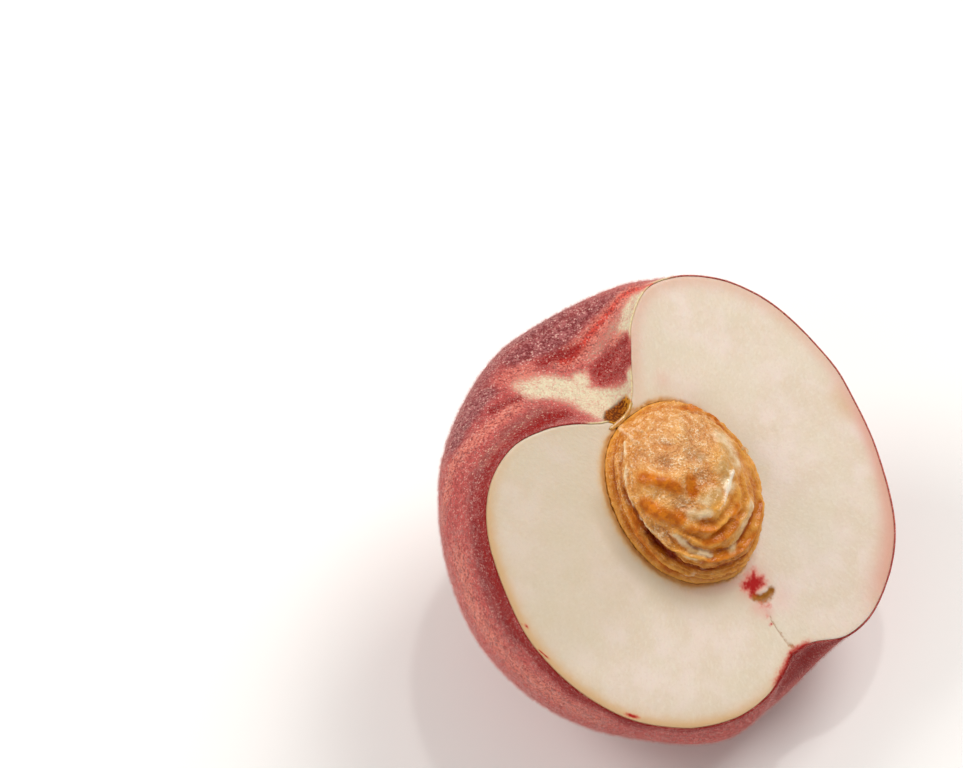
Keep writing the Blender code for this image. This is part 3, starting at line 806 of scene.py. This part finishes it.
woody.set(Base_Color=stone_colour, Roughness=0.17 - 0.06 * milk + blots * 0.16,
          Coat_Weight=woody.step(blot * 0.7 + milk * 0.6 + folded * 0.5 - oranged * 0.2, 0.4, 0.8) * 0.28,
          Normal=woody.relief(grit * (0.25 + sandy * 0.8) + blot * 0.8, 0.28))
woody.wear(stone)
settle(stone, stone_places, "stone")

# The flesh
# It is the fruit's white, juicy body. It fills the skin, is cut flat and smooth, and holds
# the stone in a close bed, with red stains and a torn hollow between the stone and the tip.
FLESH_GAP = 0.05
FLESH_TURNS = 44
FLESH_RINGS = 132
BED_RINGS = 16
FLESH_RING_SPREAD = (-0.35, 1.25)
BED_GAP = 0.14
BED_DEPTH = STONE_HALF_SIZES[0] + 1.0
# These places are in the cut, so each is given by how far it is sideways and up, in mm.
STAR = (1.4, -13.9)
STAR_RAYS = ((3.2, -12.0), (3.7, -15.3), (3.5, -14.2), (-1.0, -12.6), (-1.8, -13.3), (-0.3, -15.2),
             (0.7, -15.4))
TORN_HOLLOW = ((0.4, -15.7), (1.1, -16.5), (2.1, -16.9), (3.2, -16.7))
TORN_LIP = ((0.9, -15.4), (1.5, -15.7), (2.8, -16.0))
TIP_LINE = ((1.2, -17.6), (0.5, -18.6), (0.5, -19.7), (0.4, -21.8), (0.5, -24.0), (1.0, -26.0))
BLUSH_SPOTS = (
    (0.35, 1.5, ((8.4, 20.4),)),
    (1.3, 2.4, (STAR,)),
    (0.65, 1.5, ((-0.3, -17.2), (0.5, -18.6))),
    (0.3, 2.4, ((4.2, -18.5),)),
)
NICKS = (
    (1, 0.32, ((-30.3, -16.9), (-29.2, -18.2))),
    (1, 0.2, ((-36.6, 4.0), (-35.8, 3.1))),
    (1, 0.14, ((-36.6, -0.8), (-36.1, -2.6))),
)

flesh_body = Body()
back_edge = flesh_body.add_half(half_fruit(FLESH_TURNS, SKIN_THICKNESS + FLESH_GAP)[0])
flesh_rim = rim_points - rim_normals * (SKIN_THICKNESS + FLESH_GAP)
middle = STONE_MIDDLE[1:]
stone_edge = stone_surface(np.arccos(np.array((0.0, 0.4)) / STONE_HALF_SIZES[0]), turns)[0][1, :, 1:] - middle
edge_angles = np.arctan2(stone_edge[:, 1], stone_edge[:, 0])
rays = flesh_rim[:, 1:] - middle
ray_angles = np.arctan2(rays[:, 1], rays[:, 0])
edge_radius = np.linalg.norm(stone_edge, axis=1)
bed_radius = np.interp(ray_angles, edge_angles, edge_radius, period=2 * math.pi) + BED_GAP
ray_lengths = np.linalg.norm(rays, axis=1)
shares = ease(np.linspace(0, 1, FLESH_RINGS), *FLESH_RING_SPREAD)
shares = (shares - shares[0]) / (shares[-1] - shares[0])
radii = ray_lengths + shares[:, None] * (bed_radius - ray_lengths)
front = np.zeros((FLESH_RINGS, len(rim), 3))
front[..., 1:] = middle + radii[..., None] * unit(rays)
soft_wave, fine_wave = ripple(front, 13.0, 2, 6.0), ripple(front, 1.1, 2, 8.0)
hollow, torn_lip, tip_groove = (
    near_line(front[..., 1:], line, width)
    for line, width in ((TORN_HOLLOW, 0.7), (TORN_LIP, 0.36), (TIP_LINE, 0.3)))
front[..., 0] = CUT_PLANE - 0.02 + 0.07 * soft_wave + 0.012 * fine_wave
front[..., 0] -= (0.06 + 0.05 * fine_wave) * bell(ray_lengths - radii, 0.3)
front[..., 0] -= (0.2 + 0.22 * fine_wave) * bell(radii - bed_radius, 0.5)
front[..., 0] += 0.11 * torn_lip * (1 + fine_wave) - 0.28 * hollow - 0.1 * tip_groove
rings = flesh_body.add(front)
sunk = np.arange(1, BED_RINGS + 1)[:, None] / BED_RINGS
bed = np.empty((BED_RINGS, len(rim), 3))
bed[..., 0] = front[-1, :, 0] - BED_DEPTH * sunk
bed[..., 1:] = middle + (front[-1, :, 1:] - middle) * np.sqrt(1 - sunk ** 2)[..., None]
bed_numbers = flesh_body.add(bed)
bed_numbers[-1] = bed_numbers[-1, 0]
flesh_body.join(back_edge, *rings, *bed_numbers)
flesh, flesh_points = flesh_body.piece("peach_flesh")


def distance_to(points, places):
    """How far each point is from the nearest of many places, measured along the cut."""
    tree = kdtree.KDTree(len(places))
    for number, place in enumerate(places):
        tree.insert((0, place[1], place[2]), number)
    tree.balance()
    return np.array([tree.find((0, y, z))[2] for y, z in points[:, 1:].tolist()])


to_rim = distance_to(flesh_points, flesh_rim)
to_stone = distance_to(flesh_points, front[-1])
in_cut = flesh_points[:, 1:]
flat = flesh_points * (0, 1, 1)
sideways, up = in_cut.T
wander = ripple(flat, 1.2, 3, 3.0)
broad = ripple(flat, 9.0, 2, 5.0)
moved = in_cut + 0.22 * drift(flat, 0.9, 3, (12.0, 19.0))

low_left = ease(-sideways - 0.4 * up, 4, 30)
warm_line = bell(to_rim, 1.5 + 0.3 * wander) * (0.15 + 0.95 * low_left)
warm_line = np.maximum(warm_line, 0.5 * near_line(in_cut, ((34.6, 1.0), (34.0, -2.0)), 1.8))
rim_blush = bell(to_rim - 0.3, 1.6 + 1.4 * ease(up, -10, -26))
rim_blush *= ease(sideways + 0.3 * up, 4, 16) * (1 - 0.5 * ease(up, -6, 6))
stone_blush = 0.65 * bell(to_stone, 1.8) * ease(-up, 3.0, 9.0) * ease(sideways, 8, 0)
blush = np.maximum.reduce((rim_blush, stone_blush, strongest(in_cut, BLUSH_SPOTS)))
# An olive tint by the upper side of the stone, and painted shade: a soft shadow to the stone's lower left,
# and darker towards the left of the cut.
olive_tint_and_shade = np.maximum.reduce((
    bell(to_stone, 3.4) * (0.45 + 0.25 * broad) * ease(-up, 8.0, -2.0),
    1.5 * bell(to_stone, 4.6) * ease(-sideways - 0.6 * up, 0, 9),
    0.6 * ease(0.5 * up - sideways, -8, 22) * ease(up, -14, 0),
    0.2 * bell(to_rim - 2.0, 3.0) * ease(-sideways, -4, 20),
))
star_stain = strongest(moved, [(1, 0.75, (STAR, ray_end)) for ray_end in STAR_RAYS])
star_stain *= ease(np.linalg.norm(in_cut - STAR, axis=1), 4.2, 0.5)
star_stain = np.maximum(star_stain, near_line(moved, (STAR,), 1.7))
red_dots = 0.9 * near_line(moved, ((-0.1, -20.7),), 0.42) + 0.45 * near_line(moved, ((0.3, -19.3),), 0.5)
red_dots += 0.45 * near_line(moved, ((0.6, -17.4), (1.4, -18.0)), 0.8) * (1 + 0.6 * wander)
near_tip = ease(up, -25.2, -27.0) * ease(np.abs(sideways - 0.8), 2.6, 0.3)
near_notch = near_line(in_cut, ((-4.4, -28.8), (-1.6, -27.6), (0.2, -26.8), (2.6, -27.2)), 2.0)
near_notch *= bell(to_rim, 1.15 + 0.45 * wander)
stain = np.maximum.reduce((star_stain, red_dots, 0.35 * near_tip, strongest(in_cut, NICKS), 0.9 * near_notch))
brown = strongest(moved, (
    (1, 1.0, TORN_HOLLOW),
    (0.6, 0.24 + 0.1 * wander, TIP_LINE[2:]),
    (0.6, 0.45, ((0.7, -24.8), (0.8, -25.8))),
))
by_stone = bell(to_stone, 0.6 + 0.8 * ease(-sideways, 2, 10) + 0.3 * wander)
by_stone = np.maximum(by_stone, 0.8 * near_line(moved, ((-4.6, 18.9), (-1.8, 19.2), (1.0, 19.6)), 0.55))
lip_pale = 0.6 * near_line(in_cut, TORN_LIP, 0.32)
paint(flesh, "flesh_tints", warm_line, blush * (1 - lip_pale), olive_tint_and_shade)
paint(flesh, "flesh_marks", stain * (1 - 0.8 * lip_pale), brown * (1 - lip_pale), by_stone)

LIGHT_IN_FLESH = {"Subsurface_Scale": MM, "Subsurface_Radius": (1.0, 0.65, 0.42)}
juicy = Finish("white_flesh", Specular_IOR_Level=0.3, Coat_Weight=0.1, Coat_Roughness=0.28,
               Subsurface_Weight=0.25, **LIGHT_IN_FLESH)
golden, blushing, green = juicy.painted("flesh_tints")
stained, browned, at_stone = juicy.painted("flesh_marks")
fruit_place = juicy.node("ShaderNodeMapping", {"vector_type": "TEXTURE"}, {
    "Vector": juicy.place, "Location": LYING.translation * MM, "Rotation": LYING.to_euler("XYZ")})
from_middle = juicy.node("ShaderNodeVectorMath", {"operation": "SUBTRACT"},
                         {0: fruit_place, 1: STONE_MIDDLE * MM})
ray = juicy.node("ShaderNodeVectorMath", {"operation": "NORMALIZE"}, {0: from_middle})
fibre_place = juicy.node("ShaderNodeVectorMath", {"operation": "MULTIPLY_ADD"},
                         {0: from_middle, 1: (60, 60, 60), 2: ray})
fibres = juicy.node("ShaderNodeTexNoise", sockets={"Vector": fibre_place, "Scale": 20.0, "Detail": 3.0})
pulp, patch, haze = juicy.grain(0.45, 3.0), juicy.grain(4.6, 4.0), juicy.grain(11.0)
lumps = pulp - 0.5
stone_stain = juicy.blend(juicy.step(at_stone, 0.4, 1.0), (220, 182, 124), (204, 146, 66))
stain_shade = juicy.blend(juicy.step(stained + lumps * 0.5, 0.28, 0.9), (222, 58, 36), (176, 0, 0))
flesh_colour = juicy.over(
    (232, 214, 193),
    (juicy.step(patch, 0.34, 0.66), (240, 222, 209)),
    (juicy.step(haze, 0.42, 0.62) * 0.6, (231, 218, 194)),
    (juicy.step(fibres, 0.45, 0.75) * 0.5, (242, 230, 212)),
    (juicy.step(pulp, 0.5, 0.32) * 0.14, (208, 188, 156)),
    # Olive tint round the stone, and painted shade to its lower left and over the left of the cut.
    (green * 0.7, (203, 185, 157)),
    (blushing * 0.75, (228, 160, 144)),
    (golden * 0.75, (214, 166, 104)),
    (juicy.step(at_stone + lumps * 0.5, 0.05, 0.95) * 0.85, stone_stain),
    (juicy.step(browned + lumps * 0.4, 0.2, 0.85), juicy.blend(pulp, (122, 62, 0), (186, 122, 26))),
    (juicy.step(stained + lumps * 0.7, 0.08, 0.95), stain_shade),
)
juicy.set(Base_Color=flesh_colour, Roughness=0.42 + lumps * 0.2,
          Normal=juicy.relief(fibres * 0.7 + pulp * 0.4, 0.05))
juicy.wear(flesh)
settle(flesh, flesh_points, "flesh", SKIN_THICKNESS + FLESH_GAP)

# The torn fibres
# A string of flesh still joins the scar to the stone, and a shred of it clings to the
# stone's side. They tore free of the rest when the half was cut and pulled off.
FIBRE_STEPS = 18
FIBRE_SIDES = 8
# Each fibre: a line of places, and its half width at the first and at the last of them, in mm.
FIBRE_LINES = (
    (((0.35, 1.6, 20.6), (0.42, 0.4, 19.8), (0.45, -1.4, 19.3), (0.45, -3.2, 19.2), (0.35, -4.9, 19.4)),
     0.26, 0.44),
    (((4.8, 10.5, 4.9), (5.4, 10.8, 4.5), (5.8, 10.8, 4.1), (6.0, 10.2, 3.7)), 0.4, 0.26),
)

fibre_body = Body()
for number, (line, first_radius, last_radius) in enumerate(FIBRE_LINES):
    line = np.array(line)
    knots = np.linspace(0, 1, len(line))
    along = np.linspace(0, 1, FIBRE_STEPS)
    middle_line = np.stack([np.interp(along, knots, line[:, axis]) for axis in range(3)], axis=1)
    for _ in range(3):
        middle_line[1:-1] = (middle_line[:-2] + 2 * middle_line[1:-1] + middle_line[2:]) / 4
    middle_line += 0.1 * drift(middle_line, 1.1, 2, (number + 2, number + 8, number + 14))
    heading = unit(np.gradient(middle_line, axis=0))
    across = unit(np.cross(heading, (1.0, 0.2, 0.1)))
    over = np.cross(heading, across)
    radius = first_radius + (last_radius - first_radius) * along
    radius *= 1 + 0.35 * ripple(middle_line, 0.7, 2, 5.0)
    radius *= ease(along, -0.1, 0.12) * ease(along, 1.06, 0.84)
    turn = np.linspace(0, 2 * math.pi, FIBRE_SIDES, endpoint=False)[:, None]
    loops = across[:, None] * np.cos(turn) + 0.3 * over[:, None] * np.sin(turn)
    numbers = fibre_body.add(middle_line[:, None] + radius[:, None, None] * loops)
    numbers[0], numbers[-1] = numbers[0, 0], numbers[-1, 0]
    fibre_body.join(*numbers)
fibre, fibre_points = fibre_body.piece("torn_fibres")
paint(fibre, "fibre_tints", ripple(fibre_points, 1.4, 2, 4.0) * 0.5 + 0.5, ease(fibre_points[:, 2], 4, 8))

stringy = Finish("torn_flesh", Roughness=0.28, Specular_IOR_Level=0.6, Coat_Weight=0.3, Coat_Roughness=0.15,
                 Subsurface_Weight=0.5, **LIGHT_IN_FLESH)
uneven, upper, _ = stringy.painted("fibre_tints")
shred = stringy.grain(0.4)
string_colour = stringy.over(
    (216, 178, 126),
    (upper, (208, 156, 74)),
    (stringy.step(uneven + (shred - 0.5) * 0.6, 0.3, 0.9) * 0.7, (184, 112, 28)),
)
stringy.set(Base_Color=string_colour, Normal=stringy.relief(shred, 0.08))
stringy.wear(fibre)
settle(fibre, fibre_points, "flesh")

# The stage
# A plain pale floor, a dim even sky and four soft lamps, most of the light from the upper right.
# The camera stands at the photograph's angle.
FRUIT_MIDDLE = Vector((0, 0, 0.025))

floor_corners = [(-3, -3, 0), (3, -3, 0), (3, 3, 0), (-3, 3, 0)]
floor = new_object("floor", new_mesh("floor", floor_corners, [(0, 1, 2, 3)]))
paper = Finish("pale_paper", Base_Color=tone(250, 249, 247), Roughness=0.9)
paper.wear(floor)

world = bpy.data.worlds.new("studio")
bpy.context.scene.world = world
world.use_nodes = True
sky = world.node_tree.nodes["Background"].inputs
sky["Color"].default_value = tone(255, 253, 250)
sky["Strength"].default_value = 0.34


def soft_box(name, place, size, watts):
    """A square lamp that faces the fruit."""
    light = bpy.data.lights.new(name, "AREA")
    light.shape = "SQUARE"
    light.size = size
    light.energy = watts
    light.color = tone(255, 253, 250)[:3]
    lamp = new_object(name, light)
    lamp.location = place
    lamp.rotation_euler = (FRUIT_MIDDLE - lamp.location).to_track_quat("-Z", "Y").to_euler()


soft_box("main_box", (0.45, 0.4, 0.8), 0.5, 5.6)
soft_box("left_box", (-0.55, 0.05, 0.5), 0.35, 2.2)
soft_box("high_box", (0.05, 0.2, 0.75), 0.035, 0.6)
soft_box("front_box", (-0.4, -0.5, 0.45), 0.5, 0.7)

camera = new_object("camera", bpy.data.cameras.new("camera"))
camera.data.lens = 135
camera.data.sensor_width = 36
camera.data.clip_start = 0.01
camera.location = (-0.03007, -0.31032, 0.51026)
camera.rotation_euler = (math.radians(35), 0, 0)
bpy.context.scene.camera = camera
bpy.context.scene.view_settings.view_transform = "Standard"
